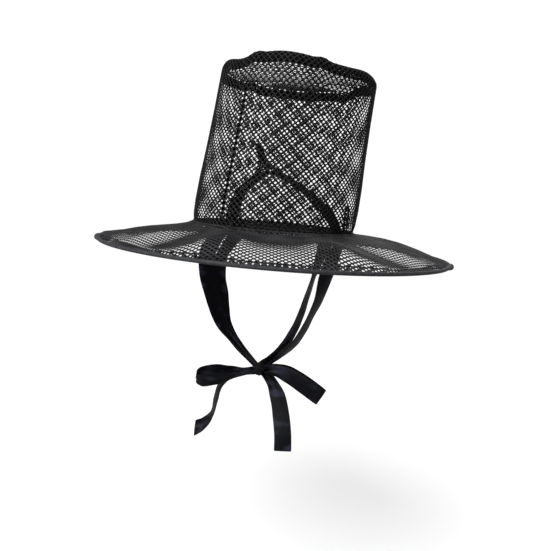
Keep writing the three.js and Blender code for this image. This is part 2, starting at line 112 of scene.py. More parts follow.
def table(rows, at):
    xs, ys = zip(*rows)
    return np.interp(at, xs, ys)


def bumps(rows, angle):
    # smooth bumps round the hat, angle in degrees
    total = np.zeros_like(angle)
    for where, reach, rise in rows:
        away = np.abs((angle - where + 180) % 360 - 180) / reach
        total += np.where(away < 1, rise * np.cos(np.minimum(away, 1) * math.pi / 2) ** 2, 0)
    return total


# the hat's two surfaces
crown = {
    "baseRadius": 89 * mm, "topRadius": 85.2 * mm, "height": 166 * mm, "shoulder": 7 * mm,
    "leanLeft": 5.5 * mm, "leanBack": 15.4 * mm, "topSag": 3 * mm,
    # share of the height, and by how much the wall stands out there
    "swell": [(0, 0), (0.06, 0.02), (0.15, 0.029), (0.3, 0.027), (0.5, 0.0125), (0.75, 0.003),
              (1, 0)],
    # angle, half width and rise, as a share of the height
    "humps": [(-60, 48, 0.042), (-78, 9, 0.014), (-30, 8, 0.012), (-112, 24, 0.03), (10, 20, 0.008),
              (72, 14, 0.02), (176, 9, 0.018), (92, 9, -0.016)],
}
wallTall = crown["height"] - crown["shoulder"]

brim = {
    "inner": 89.5 * mm, "edge": 188.7 * mm, "drop": 22.5 * mm, "top": 1.2 * mm,
    "shiftLeft": 2.4 * mm, "shiftBack": 2.4 * mm,
    # share of the way out, and how far the brim has fallen or how much of a fold shows
    "fall": [(0, 0), (0.06, 0.12), (0.16, 0.19), (0.31, 0.265), (0.47, 0.35), (0.63, 0.48),
             (0.78, 0.655), (0.9, 0.83), (1, 1)],
    "foldShow": [(0, 0), (0.06, 0.12), (0.16, 0.45), (0.31, 0.8), (0.47, 1), (0.63, 1),
                 (0.78, 0.75), (0.9, 0.35), (1, 0)],
    # angle, half width and rise, as a share of the drop
    "folds": [(-63, 14, 0.2), (-83, 14, -0.2), (-23, 14, 0.2), (-2, 14, -0.2), (62, 26, 0.1),
              (108, 24, -0.1), (158, 26, 0.1), (-146, 30, -0.24)],
}


def onCrown(angle, up, turn, inset):
    # angle and turn in degrees, up from 0 at the opening to 1 at the shoulder
    theta, bend = np.radians(angle), np.radians(turn)
    rim = crown["height"] * (1 + bumps(crown["humps"], angle))
    wall = crown["baseRadius"] * (1 + table(crown["swell"], up))
    wall = wall + (crown["topRadius"] - crown["baseRadius"]) * up
    shoulder = crown["shoulder"] - inset
    radius = wall - crown["shoulder"] + shoulder * np.cos(bend)
    height = (rim - crown["shoulder"]) * up + shoulder * np.sin(bend)
    return np.stack([crown["leanLeft"] * up + radius * np.cos(theta),
                     crown["leanBack"] * up + radius * np.sin(theta), height], axis=1)


def onTop(x, y, depth):
    edge = crown["topRadius"] - crown["shoulder"]
    share = np.hypot(x, y) / edge
    angle = np.degrees(np.arctan2(y, x))
    rise = crown["height"] * bumps(crown["humps"], angle) * share ** 2
    height = crown["height"] + rise - crown["topSag"] * (1 - share ** 2) - depth
    return np.stack([crown["leanLeft"] + x, crown["leanBack"] + y, height], axis=1)


def onBrim(x, y, depth):
    radius = np.hypot(x, y)
    angle = np.degrees(np.arctan2(y, x))
    across = np.clip((radius - brim["inner"]) / (brim["edge"] - brim["inner"]), -0.02, 1.02)
    fall = brim["drop"] * table(brim["fall"], across)
    fold = brim["drop"] * bumps(brim["folds"], angle) * table(brim["foldShow"], across)
    return np.stack([x + brim["shiftLeft"] * across, y + brim["shiftBack"] * across,
                     brim["top"] - fall + fold - depth], axis=1)


# materials
def newMaterial(name):
    material = bpy.data.materials.new(name)
    material.use_nodes = True
    nodes, links = material.node_tree.nodes, material.node_tree.links
    return material, nodes, links, nodes["Principled BSDF"]


def newGroup(name, settings, results):
    # a shader group fed by a vector, with named settings and outputs
    group = bpy.data.node_groups.new(name, "ShaderNodeTree")
    face = group.interface
    face.new_socket("Vector", in_out="INPUT", socket_type="NodeSocketVector")
    for label, value in settings:
        socket = face.new_socket(label, in_out="INPUT", socket_type="NodeSocketFloat")
        socket.default_value = value
    for label in results:
        face.new_socket(label, in_out="OUTPUT", socket_type="NodeSocketFloat")
    nodes = group.nodes
    return group, nodes, group.links, nodes.new("NodeGroupInput"), nodes.new("NodeGroupOutput")


def mathNode(nodes, operation):
    node = nodes.new("ShaderNodeMath")
    node.operation = operation
    return node


def clothWeaveGroup():
    # fine woven threads on the piece's own UV, in metres
    group, nodes, links, inputs, outputs = newGroup(
        "clothWeave", [("Threads Across", 4000.0), ("Threads Along", 4000.0), ("Unevenness", 0.2)],
        ["Height", "Mottle"])
    split = nodes.new("ShaderNodeSeparateXYZ")
    links.new(inputs.outputs["Vector"], split.inputs[0])
    waves = []
    for axis, label in ((0, "Threads Across"), (1, "Threads Along")):
        scale = mathNode(nodes, "MULTIPLY")
        links.new(split.outputs[axis], scale.inputs[0])
        links.new(inputs.outputs[label], scale.inputs[1])
        turns = mathNode(nodes, "MULTIPLY")
        turns.inputs[1].default_value = 2 * math.pi
        links.new(scale.outputs[0], turns.inputs[0])
        wave = mathNode(nodes, "SINE")
        links.new(turns.outputs[0], wave.inputs[0])
        waves.append(wave)
    product = mathNode(nodes, "MULTIPLY_ADD")
    product.inputs[2].default_value = 0.5
    links.new(waves[0].outputs[0], product.inputs[0])
    links.new(waves[1].outputs[0], product.inputs[1])
    noise = nodes.new("ShaderNodeTexNoise")
    noise.inputs["Scale"].default_value = 160
    noise.inputs["Detail"].default_value = 3
    links.new(inputs.outputs["Vector"], noise.inputs["Vector"])
    blend = nodes.new("ShaderNodeMix")
    links.new(inputs.outputs["Unevenness"], blend.inputs[0])
    links.new(product.outputs[0], blend.inputs[2])
    links.new(noise.outputs["Fac"], blend.inputs[3])
    links.new(blend.outputs[0], outputs.inputs["Height"])
    links.new(noise.outputs["Fac"], outputs.inputs["Mottle"])
    return group


def strandGroup():
    # fine unevenness of the filament, and a slow change of tone over the net
    group, nodes, links, inputs, outputs = newGroup(
        "netStrand", [("Rib Scale", 900.0), ("Patch Scale", 45.0)], ["Ribs", "Patches"])
    for size, result, detail in (("Rib Scale", "Ribs", 2), ("Patch Scale", "Patches", 4)):
        noise = nodes.new("ShaderNodeTexNoise")
        noise.inputs["Detail"].default_value = detail
        links.new(inputs.outputs["Vector"], noise.inputs["Vector"])
        links.new(inputs.outputs[size], noise.inputs["Scale"])
        links.new(noise.outputs["Fac"], outputs.inputs[result])
    return group


def paintedHighlightGroup():
    # painted highlight: lighter bands painted into the base colour where soft creases in satin
    # would catch the light, running across the strip and broken up along it
    group, nodes, links, inputs, outputs = newGroup(
        "satinShine", [("Band Length", 62.0), ("Low", 0.52), ("High", 0.72)], ["Shine"])
    stretch = nodes.new("ShaderNodeMapping")
    stretch.inputs["Scale"].default_value = (0.35, 0.7, 1.3)
    links.new(inputs.outputs["Vector"], stretch.inputs["Vector"])
    noise = nodes.new("ShaderNodeTexNoise")
    noise.inputs["Detail"].default_value = 1
    links.new(stretch.outputs["Vector"], noise.inputs["Vector"])
    links.new(inputs.outputs["Band Length"], noise.inputs["Scale"])
    cut = nodes.new("ShaderNodeMapRange")
    cut.interpolation_type = "SMOOTHSTEP"
    links.new(noise.outputs["Fac"], cut.inputs["Value"])
    links.new(inputs.outputs["Low"], cut.inputs["From Min"])
    links.new(inputs.outputs["High"], cut.inputs["From Max"])
    links.new(cut.outputs["Result"], outputs.inputs["Shine"])
    return group


clothWeave = clothWeaveGroup()
netStrand = strandGroup()
satinShine = paintedHighlightGroup()


def addGroup(nodes, links, group, source):
    node = nodes.new("ShaderNodeGroup")
    node.node_tree = group
    links.new(source, node.inputs["Vector"])
    return node


def colorRamp(nodes, links, source, *stops):
    ramp = nodes.new("ShaderNodeValToRGB")
    for element, (position, color) in zip(ramp.color_ramp.elements, stops):
        element.position = position
        element.color = (*color, 1)
    links.new(source, ramp.inputs["Fac"])
    return ramp.outputs["Color"]


def addRelief(nodes, links, shader, height, roughness, bump):
    # roughness from smoothest to roughest, and a bump of that strength and depth
    rough = nodes.new("ShaderNodeMapRange")
    rough.inputs["To Min"].default_value, rough.inputs["To Max"].default_value = roughness
    links.new(height, rough.inputs["Value"])
    links.new(rough.outputs["Result"], shader.inputs["Roughness"])
    relief = nodes.new("ShaderNodeBump")
    relief.inputs["Strength"].default_value, relief.inputs["Distance"].default_value = bump
    links.new(height, relief.inputs["Height"])
    links.new(relief.outputs["Normal"], shader.inputs["Normal"])


def netMaterial(name, dark, light, roughness, specular):
    material, nodes, links, shader = newMaterial(name)
    place = nodes.new("ShaderNodeTexCoord")
    strand = addGroup(nodes, links, netStrand, place.outputs["Object"])
    color = colorRamp(nodes, links, strand.outputs["Patches"], (0.35, dark), (0.7, light))
    links.new(color, shader.inputs["Base Color"])
    addRelief(nodes, links, shader, strand.outputs["Ribs"], (roughness - 0.08, roughness + 0.1),
              (0.35, 0.3 * mm))
    shader.inputs["Specular IOR Level"].default_value = specular
    return material


def wovenMaterial(name, dark, light, roughness, threads, sheen, sheenTint, bumpDepth, specular,
                  paintedHighlight=None):
    # threads: how many to the metre, across and along; paintedHighlight: the colour of a painted
    # highlight mixed into the base colour in bands, if any
    material, nodes, links, shader = newMaterial(name)
    place = nodes.new("ShaderNodeUVMap")
    weave = addGroup(nodes, links, clothWeave, place.outputs["UV"])
    weave.inputs["Threads Across"].default_value = threads[0]
    weave.inputs["Threads Along"].default_value = threads[1]
    weave.inputs["Unevenness"].default_value = 0.25
    color = colorRamp(nodes, links, weave.outputs["Mottle"], (0.3, dark), (0.75, light))
    # painted highlight: the base colour is lightened towards this colour in the highlight bands
    if paintedHighlight:
        where = nodes.new("ShaderNodeTexCoord")
        highlightBands = addGroup(nodes, links, satinShine, where.outputs["Object"])
        lift = nodes.new("ShaderNodeMix")
        lift.data_type = "RGBA"
        lift.inputs[7].default_value = (*paintedHighlight, 1)
        links.new(highlightBands.outputs["Shine"], lift.inputs[0])
        links.new(color, lift.inputs[6])
        color = lift.outputs[2]
    links.new(color, shader.inputs["Base Color"])
    addRelief(nodes, links, shader, weave.outputs["Height"], (roughness - 0.05, roughness + 0.1),
              (0.4, bumpDepth))
    shader.inputs["Specular IOR Level"].default_value = specular
    shader.inputs["Sheen Weight"].default_value = sheen
    shader.inputs["Sheen Tint"].default_value = (*sheenTint, 1)
    shader.inputs["Sheen Roughness"].default_value = 0.4
    return material


netBlack = netMaterial("netBlack", (0.003, 0.0032, 0.0032), (0.009, 0.0095, 0.0095), 0.45, 0.14)
# painted light: the same black net as the crown, painted lighter for the brim and its hem, which
# face the lamps
netBrimPaintedLight = netMaterial("netBrimPaintedLight", (0.013, 0.013, 0.014), (0.034, 0.034, 0.036), 0.45, 0.08)
# painted shade: the same black net painted darker for the hems, seam, strap, tab and loop, standing
# in for the shade between doubled layers
netFoldedPaintedShade = netMaterial("netFoldedPaintedShade", (0.0015, 0.0015, 0.0018), (0.004, 0.004, 0.0045), 0.5, 0.07)
bindingTape = wovenMaterial("bindingTape", (0.012, 0.0125, 0.0145), (0.032, 0.033, 0.037),
                            roughness=0.48, threads=(1500, 1500), sheen=0.04,
                            sheenTint=(0.7, 0.72, 0.8), bumpDepth=0.2 * mm, specular=0.2)
# satin with painted highlight bands in its base colour
satinRibbon = wovenMaterial("satinRibbon", (0.0012, 0.0013, 0.0025), (0.0025, 0.0028, 0.005),
                            roughness=0.36, threads=(2600, 5200), sheen=0.01,
                            sheenTint=(0.45, 0.5, 0.8), bumpDepth=0.05 * mm, specular=0.1,
                            paintedHighlight=(0.018, 0.019, 0.034))


# net making
netting = {
    "around": 90, "cellTall": 5.6 * mm,      # diamonds round the crown, and how tall each is
    "side": 4.15 * mm,                       # the same cell's side, for the flat nets
    "strand": 2.6 * mm, "waist": 0.56,       # strand width at a crossing, and its share between
    "flatness": 0.4,                         # how thick a strand is, beside a round one
}


def splitEdges(piece, waist):
    # a point in the middle of every strand, so that it can be thinner there than at the crossings
    form = bmesh.new()
    form.from_mesh(piece.data)
    crossings = len(form.verts)
    for edge in list(form.edges):
        bmesh.utils.edge_split(edge, edge.verts[0], 0.5)
    form.verts.index_update()
    form.to_mesh(piece.data)
    form.free()
    group = piece.vertex_groups.new(name="strandWidth")
    count = len(piece.data.vertices)
    group.add(list(range(crossings)), 1.0, "REPLACE")
    group.add(list(range(crossings, count)), waist, "REPLACE")


def strandsFromEdges(piece, width, waist=netting["waist"]):
    splitEdges(piece, waist)
    applyModifier(piece, "WIREFRAME", thickness=width, offset=0, use_replace=True,
                  use_boundary=True, use_even_offset=False, vertex_group="strandWidth",
                  thickness_vertex_group=0.0)
    bpy.ops.object.shade_smooth()


def dissolveGrid(piece, isGridEdge):
    # poke every face, then take the old grid lines out, which leaves a net of diamonds
    bpy.ops.object.mode_set(mode="EDIT")
    bpy.ops.mesh.select_all(action="SELECT")
    bpy.ops.mesh.poke()
    selectOnly(piece, "EDGE", lambda edge: not edge.is_boundary
               and isGridEdge(edge.verts[0].co, edge.verts[1].co))
    bpy.ops.mesh.dissolve_edges(use_verts=False)
    bpy.ops.object.mode_set(mode="OBJECT")


def netTube(name, rows, radius, width, flatness, waist=netting["waist"]):
    # netting all the way round, with each point's angle, share of the height and depth
    height = rows * netting["cellTall"]
    startPiece()
    bpy.ops.mesh.primitive_cylinder_add(vertices=netting["around"], radius=radius, depth=height,
                                        end_fill_type="NOTHING", location=(0, 0, 0))
    piece = bpy.context.object
    piece.name = name
    cutRings(piece, height, rows)
    bpy.ops.object.mode_set(mode="OBJECT")
    dissolveGrid(piece, lambda a, b: abs(a.z - b.z) < 1e-5 or a.xy.angle_signed(b.xy) ** 2 < 1e-6)
    points = readPoints(piece)
    ring = np.hypot(points[:, 0], points[:, 1])
    points[:, :2] *= (radius / ring)[:, None]
    writePoints(piece, points)
    strandsFromEdges(piece, width, waist)
    points = readPoints(piece)
    angle = np.degrees(np.arctan2(points[:, 1], points[:, 0]))
    depth = (radius - np.hypot(points[:, 0], points[:, 1])) * flatness
    return piece, angle, points[:, 2] / height + 0.5, depth


def netSheet(name, columns, rows, wide, tall, width):
    # a flat piece of netting with diamond cells, from corner (0, 0)
    startPiece()
    bpy.ops.mesh.primitive_grid_add(x_subdivisions=columns, y_subdivisions=rows, size=1)
    piece = bpy.context.object
    piece.name = name
    points = readPoints(piece)
    writePoints(piece, (points + [0.5, 0.5, 0]) * [wide, tall, 1])
    dissolveGrid(piece, lambda a, b: abs(a.x - b.x) < 1e-6 or abs(a.y - b.y) < 1e-6)
    strandsFromEdges(piece, width)
    points = readPoints(piece)
    points[:, 2] *= netting["flatness"]
    return piece, points


def netRing(name, inner, outer, shift, width, flatness):
    # a flat net with square cells, cut to a ring; its boundary is drawn onto the two circles
    side = netting["side"]
    count = int(2 * outer / side) + 4
    startPiece()
    bpy.ops.mesh.primitive_grid_add(x_subdivisions=count, y_subdivisions=count, size=count * side)
    piece = bpy.context.object
    piece.name = name
    points = readPoints(piece)
    writePoints(piece, points + [shift[0], shift[1], 0])
    bpy.ops.object.mode_set(mode="EDIT")
    selectOnly(piece, "FACE", lambda face: not inner <= face.calc_center_median().length <= outer)
    bpy.ops.mesh.delete(type="FACE")
    form = bmesh.from_edit_mesh(piece.data)
    halfway = (inner + outer) / 2
    for vert in form.verts:
        if vert.is_boundary:
            ring = vert.co.length
            limit = outer if ring > halfway else inner
            if inner > 0 or ring > halfway:
                vert.co *= limit / ring
    bmesh.update_edit_mesh(piece.data)
    bpy.ops.object.mode_set(mode="OBJECT")
    strandsFromEdges(piece, width)
    points = readPoints(piece)
    points[:, 2] *= flatness
    return piece, points


# crown
crownNet = {"rows": 30, "shoulderRows": 1.9, "depth": 0.6 * mm, "tubeRadius": 88 * mm,
            "strand": 2.7 * mm, "waist": 0.57, "flatness": 0.44,
            "topFlatness": 0.3, "topGap": 0.4 * mm, "topShift": (0.7 * mm, 1.1 * mm)}


def makeCrownWall():
    rows, bendRows = crownNet["rows"], crownNet["shoulderRows"]
    piece, angle, share, depth = netTube("crownNet", rows, crownNet["tubeRadius"],
                                         crownNet["strand"], crownNet["flatness"],
                                         crownNet["waist"])
    row = share * rows
    up = np.clip(row / (rows - bendRows), -0.01, 1)
    turn = np.clip((row - rows + bendRows) / bendRows, 0, 1.02) * 90
    writePoints(piece, onCrown(angle, up, turn, crownNet["depth"] + depth))
    finishPiece(piece, netBlack, "crown_wall")


def makeCrownTop():
    edge = crown["topRadius"] - crown["shoulder"] - crownNet["topGap"]
    piece, points = netRing("crownTopNet", 0, edge, crownNet["topShift"], netting["strand"],
                            crownNet["topFlatness"])
    writePoints(piece, onTop(points[:, 0], points[:, 1], crownNet["depth"] - points[:, 2]))
    finishPiece(piece, netBlack, "crown_top")


hems = {
    "tubeRadius": 86 * mm,
    # the upper hem: its layers' turn in degrees and inset, its reach below the shoulder, its curl
    "topRows": 3, "topLayers": [(2, 1.7 * mm), (1, 2.4 * mm), (2.8, 3.1 * mm)],
    "topStrand": 3.3 * mm, "topReach": 4 * mm, "topCurl": 66,
    # the hem in the head opening, from its lower edge to its upper
    "baseRows": 2, "baseTurn": 2, "inset": 2 * mm, "baseFrom": -5 * mm, "baseTo": 1.6 * mm,
}


def makeCrownHems():
    topStart = 1 - hems["topReach"] / wallTall
    layers = []
    for k, (turned, inset) in enumerate(hems["topLayers"]):
        piece, angle, share, depth = netTube(f"crownTopHem{k}", hems["topRows"], hems["tubeRadius"],
                                             hems["topStrand"], netting["flatness"])
        row = share * hems["topRows"]                        # one row upright, the others curled in
        up = topStart + (1 - topStart) * np.clip(row, -0.1, 1)
        turn = np.clip((row - 1) / (hems["topRows"] - 1), 0, 1.02) * hems["topCurl"]
        writePoints(piece, onCrown(angle + turned, up, turn, inset + depth))
        layers.append(piece)
    joinPieces(layers, "crownTopHem")
    finishPiece(layers[0], netFoldedPaintedShade, "crown_top_hem")

    piece, angle, share, depth = netTube("crownBaseHem", hems["baseRows"], hems["tubeRadius"],
                                         netting["strand"], netting["flatness"])
    up = (hems["baseFrom"] + (hems["baseTo"] - hems["baseFrom"]) * share) / wallTall
    writePoints(piece, onCrown(angle + hems["baseTurn"], up, np.zeros_like(up),
                               hems["inset"] + depth))
    finishPiece(piece, netFoldedPaintedShade, "crown_base_hem")


seam = {"angle": -177.5, "width": 2.8 * mm, "length": 149 * mm, "foot": 7 * mm, "strand": 1.5 * mm,
        "columns": 2, "rows": 60}


def makeSeam():
    # the lapped edges of the net, as one close-set strip
    piece, points = netSheet("crownSeam", seam["columns"], seam["rows"], seam["width"],
                             seam["length"], seam["strand"])
    up = (seam["foot"] + points[:, 1]) / wallTall
    angle = seam["angle"] + np.degrees((points[:, 0] - seam["width"] / 2) / crownNet["tubeRadius"])
    writePoints(piece, onCrown(angle, up, np.zeros_like(up), hems["inset"] - points[:, 2]))
    finishPiece(piece, netFoldedPaintedShade, "crown_seam")


print("crown: wall, top, hems and seam")
makeCrownWall()
makeCrownTop()
makeCrownHems()
makeSeam()


# brim
brimNet = {
    "depth": 0.7 * mm, "strand": 3 * mm, "flatness": 0.56, "intoBinding": 0.5 * mm,
    "thinning": [(0, 1), (0.3, 1), (0.55, 0.84), (1, 0.78)],
    "pressed": [(48, 70, 0.6), (-138, 70, 0.6)], "pressedFrom": 0.4,
    "hemWide": 9 * mm, "hemDepth": 2 * mm, "hemFlatness": 0.336,
}


def makeBrim():
    piece, points = netRing("brimNet", brim["inner"], brim["edge"] + brimNet["intoBinding"],
                            (0, 0), brimNet["strand"], brimNet["flatness"])
    # the net lies flatter towards the edge, and flattest at two sides
    across = (np.hypot(points[:, 0], points[:, 1]) - brim["inner"]) / (brim["edge"] - brim["inner"])
    pressed = bumps(brimNet["pressed"], np.degrees(np.arctan2(points[:, 1], points[:, 0])))
    pressed *= np.clip(across / brimNet["pressedFrom"], 0, 1)
    points[:, 2] *= table(brimNet["thinning"], across) * (1 - pressed)
    writePoints(piece, onBrim(points[:, 0], points[:, 1], brimNet["depth"] - points[:, 2]))
    finishPiece(piece, netBrimPaintedLight, "brim")


def makeBrimHem():
    inner = brim["edge"] - brimNet["hemWide"]
    half = netting["side"] / 2
    piece, points = netRing("brimHem", inner, brim["edge"] + brimNet["intoBinding"],
                            (half, half), brimNet["strand"], brimNet["hemFlatness"])
    writePoints(piece, onBrim(points[:, 0], points[:, 1], brimNet["hemDepth"] - points[:, 2]))
    finishPiece(piece, netBrimPaintedLight, "brim_hem")


binding = {
    "radius": 1.75 * mm, "around": 360, "section": 16, "gap": 0.3 * mm, "below": 1.25 * mm,
    "fullness": 1.08, "uvRadius": 190 * mm,
    "lumps": [(27, 7, 0.7), (-120, 9, 0.6), (-134, 6, 0.3)],
    "stepRise": 0.1, "stepAt": 150, "stepWide": 25,          # the tape's free edge, in degrees
}


def makeBinding():
    startPiece()
    bpy.ops.mesh.primitive_torus_add(major_segments=binding["around"], major_radius=1,
                                     minor_segments=binding["section"], minor_radius=0.5)
    piece = bpy.context.object
    piece.name = "brimBinding"
    points = readPoints(piece)
    angle = np.arctan2(points[:, 1], points[:, 0])
    ring = np.hypot(points[:, 0], points[:, 1])
    turn = np.arctan2(points[:, 2], ring - 1)
    flat = binding["radius"] * (1 + bumps(binding["lumps"], np.degrees(angle)))
    # the tape's free edge shows as a low step along the inner side
    away = (np.degrees(turn) - binding["stepAt"]) / binding["stepWide"]
    tube = flat * binding["fullness"] * (1 + binding["stepRise"] * np.exp(-away ** 2))
    out = brim["edge"] + binding["gap"] + flat + tube * np.cos(turn)
    height = brim["top"] - brim["drop"] - binding["below"]
    writePoints(piece, np.stack([brim["shiftLeft"] + out * np.cos(angle),
                                 brim["shiftBack"] + out * np.sin(angle),
                                 height + tube * np.sin(turn)], axis=1))
    remapUv(piece, lambda uv: uv * [2 * math.pi * binding["uvRadius"],
                                    2 * math.pi * binding["radius"]])
    bpy.ops.object.shade_smooth()
    finishPiece(piece, bindingTape, "brim_binding")


print("brim: net, hem and binding")
makeBrim()
makeBrimHem()
makeBinding()


# strips of cloth
def smoothPath(rows, perSpan):
    # a smooth curve through rows of (x, y, z, edge, tilt, width), in millimetres and degrees
    rows = np.array(rows, float)
    before = 2 * rows[0] - rows[1]
    after = 2 * rows[-1] - rows[-2]
    full = np.vstack([before, rows, after])
    stations = []
    for i in range(1, len(full) - 2):
        p0, p1, p2, p3 = full[i - 1:i + 3, :3]
        t1 = np.linalg.norm(p1 - p0) ** 0.5
        t2 = t1 + np.linalg.norm(p2 - p1) ** 0.5
        t3 = t2 + np.linalg.norm(p3 - p2) ** 0.5
        last = i == len(full) - 3
        for k in range(perSpan + (1 if last else 0)):
            share = k / perSpan
            t = t1 + (t2 - t1) * share
            a1 = (t1 - t) / t1 * p0 + t / t1 * p1
            a2 = (t2 - t) / (t2 - t1) * p1 + (t - t1) / (t2 - t1) * p2
            a3 = (t3 - t) / (t3 - t2) * p2 + (t - t2) / (t3 - t2) * p3
            b1 = (t2 - t) / t2 * a1 + t / t2 * a2
            b2 = (t3 - t) / (t3 - t1) * a2 + (t - t1) / (t3 - t1) * a3
            centre = (t2 - t) / (t2 - t1) * b1 + (t - t1) / (t2 - t1) * b2
            ease = share * share * (3 - 2 * share)
            rest = full[i, 3:] * (1 - ease) + full[i + 1, 3:] * ease
            stations.append([*centre, *rest])
    return np.array(stations)


def runAlong(centre):
    # how far along the path each station lies
    steps = np.linalg.norm(np.diff(centre, axis=0), axis=1)
    return np.concatenate([[0], np.cumsum(steps)])


def pathFrames(path):
    # centre, width direction and face direction at each station
    centre = path[:, :3] * mm
    along = np.gradient(centre, axis=0)
    along /= np.linalg.norm(along, axis=1)[:, None]
    edge, tilt = np.radians(path[:, 3]), np.radians(path[:, 4])
    level = np.cos(tilt)
    across = np.stack([level * np.cos(edge), level * np.sin(edge), np.sin(tilt)], axis=1)
    across -= along * (across * along).sum(1)[:, None]
    across /= np.linalg.norm(across, axis=1)[:, None]
    return centre, across, np.cross(along, across)


ribbon = {"width": 20, "thickness": 0.45 * mm, "across": 14, "perSpan": 6,
          "pleats": 2.0, "pleatDepth": 2.6, "pleatRise": 1.4}


def ribbonCloth(name, rows, cup, phase, cut):
    # a strip of satin along the rows, cupped, and pleated where it narrows; cut slants its end
    path = smoothPath(rows, ribbon["perSpan"])
    centre, across, face = pathFrames(path)
    count = len(path)
    run = runAlong(centre)
    startPiece()
    bpy.ops.mesh.primitive_grid_add(x_subdivisions=ribbon["across"], y_subdivisions=count - 1,
                                    size=1)
    piece = bpy.context.object
    piece.name = name
    flat = readPoints(piece)
    side = flat[:, 0] * 2                                    # -1 at one edge, 1 at the other
    station = (flat[:, 1] + 0.5) * (count - 1)
    lastSpan = ribbon["perSpan"]
    nearEnd = np.clip((station - (count - 1 - lastSpan)) / lastSpan, 0, 1)
    station = station + side * nearEnd * cut
    whole = np.clip(np.floor(station), 0, count - 2).astype(int)
    part = station - whole

    def between(values):
        share = part if values.ndim == 1 else part[:, None]
        return values[whole] + (values[whole + 1] - values[whole]) * share

    width = between(path[:, 5])
    spare = np.clip(1 - width / ribbon["width"], 0, 1)       # cloth that folds where it narrows
    bow = cup * (1 - side ** 2) * (1 - spare)
    pleat = np.sin(side * math.pi * ribbon["pleats"] + phase) * ribbon["pleatDepth"]
    lift = (bow + pleat * spare ** ribbon["pleatRise"]) * mm
    writePoints(piece, between(centre) + between(across) * (side * width / 2 * mm)[:, None]
                + between(face) * lift[:, None])
    remapUv(piece, lambda uv: np.stack([
        uv[:, 0] * ribbon["width"] * mm,
        np.interp(uv[:, 1] * (count - 1), np.arange(count), run)], axis=1))
    applyModifier(piece, "SOLIDIFY", thickness=ribbon["thickness"], offset=0)
    applyModifier(piece, "SUBSURF", levels=1, render_levels=1)
    bpy.ops.object.shade_smooth()
    return piece, float(run[-1])


def makeRibbon(name, node, rows, cup, phase, cut=0):
    piece, length = ribbonCloth(name, rows, cup, phase, cut)
    finishPiece(piece, satinRibbon, node)


knotCentre = (1.6, -4.4, -165.5)

# rows of x, y, z in millimetres, edge and tilt in degrees, and width
frontRun = [
    (84.9, -4.5, -0.3, 87, 0, 20), (84.6, -4.4, -2.8, 87, 0, 20), (84.1, -4.4, -6.3, 87, 0, 20),
    (84.1, -8.9, -14.1, 92, 0, 20), (85.7, -16.9, -28, 107, 0, 20),
    (87.2, -23.1, -42, 117, 0, 20), (81.2, -25.2, -67.5, 112, 0, 20),
    (73, -23.1, -87.9, 107, 0, 20), (64.1, -22, -105.1, 100, 0, 20),
    (52.5, -20.5, -122.1, 92, 0, 19.5),
]
backRun = [
    (82.5, 20.6, -0.3, 104, 0, 20), (82.2, 20.5, -2.8, 104, 0, 20),
    (81.7, 20.4, -6.3, 104, 0, 20), (81, 18.7, -14.1, 100, 0, 20), (82.8, 8, -28, 90, 0, 20),
    (84.6, -1.3, -43.4, 86, 0, 20), (82.3, -6.6, -68.8, 100, 0, 20),
    (74, -7.9, -88.9, 106, 0, 20), (67, -10, -105.8, 102, 0, 20),
    (57, -12.6, -123.3, 99, 0, 19.5),
]
# the left front run passes over the knot and into the open loop; the others end in the knot
overKnot = [
    (33.1, -15.4, -139.4, 88, -6, 17), (17, -12.8, -152, 90, -25, 14),
    (8.5, -12.3, -160.5, 92, -50, 12.5), (2.5, -12.2, -165, 92, -72, 11),
    (-4, -11.4, -167, 92, -82, 8.5), (-10, -12.3, -168, 92, -85, 6),
    (-15, -14, -169, 92, -85, 4.6),
]
leftFrontEnd = [
    (33.1, -15.2, -139.4, 90, 0, 15), (6.4, -7, -160.7, 90, 0, 7), (2.4, -5.4, -164.2, 90, 0, 5),
]
leftBackEnd = [
    (34.4, -11, -142.6, 91, 0, 16), (7.6, -6.4, -161.9, 88, 0, 9), (2.6, -5, -164.6, 88, 0, 6),
]
openLoop = [
    (-1.8, -6.2, -165.6, -45, 85, 6), (-4.9, -7.9, -166.6, -45, 80, 5.5),
    (-15.2, -13.2, -169, -45, 62, 4.6), (-28.6, -20.2, -172, -45, 62, 12),
    (-44.1, -30.8, -175.4, -45, 62, 19.5), (-55.8, -40, -180, -45, 62, 20),
    (-60.8, -45.4, -184.4, -45, 62, 14), (-58, -49.6, -187.2, -45, 62, 14),
    (-50.6, -48.1, -187.4, -45, 62, 20), (-37.6, -39.9, -183.4, -45, 62, 19.5),
    (-23, -28.4, -176.8, -45, 62, 12), (-12.1, -17.4, -171, -45, 62, 4.8),
    (-3.7, -9.5, -167, -45, 80, 5.5), (-1.2, -7, -166, -45, 85, 6),
]
flatLoop = [
    (4, -2.4, -166.2, 25, 70, 7), (7.7, -0.3, -165.6, 25, 70, 8), (17.8, 5.3, -162.8, 25, 66, 14),
    (32.5, 12.6, -165.2, 25, 64, 19), (50.7, 21.5, -173.8, 26, 62, 20.5),
    (65.6, 28.8, -182.6, 26, 62, 20.8), (68.6, 29.4, -184.2, 26, 62, 20.8),
    (69.4, 28.4, -184.6, 26, 62, 20.8), (67.4, 26.8, -183.4, 26, 62, 20.8),
    (52.3, 18.3, -174.4, 26, 62, 20.5), (34.1, 9.5, -166, 25, 64, 19),
    (19.2, 2.4, -163.2, 25, 66, 14), (8.6, -2.1, -165.6, 25, 70, 8),
    (4.6, -3.8, -166.2, 25, 70, 7),
]
leftTail = [
    (5, -2.6, -166.5, 45, 0, 8), (7.6, -0.4, -170.4, 45, 0, 9.5), (14, 3.5, -177.5, 43, 0, 12.5),
    (25, 6, -195, 40, 0, 18.5), (34.6, 5, -218.3, 36, 0, 20), (40.1, 3.6, -235.5, 36, 0, 20),
    (43.1, 2.3, -252.4, 40, 0, 20),
]
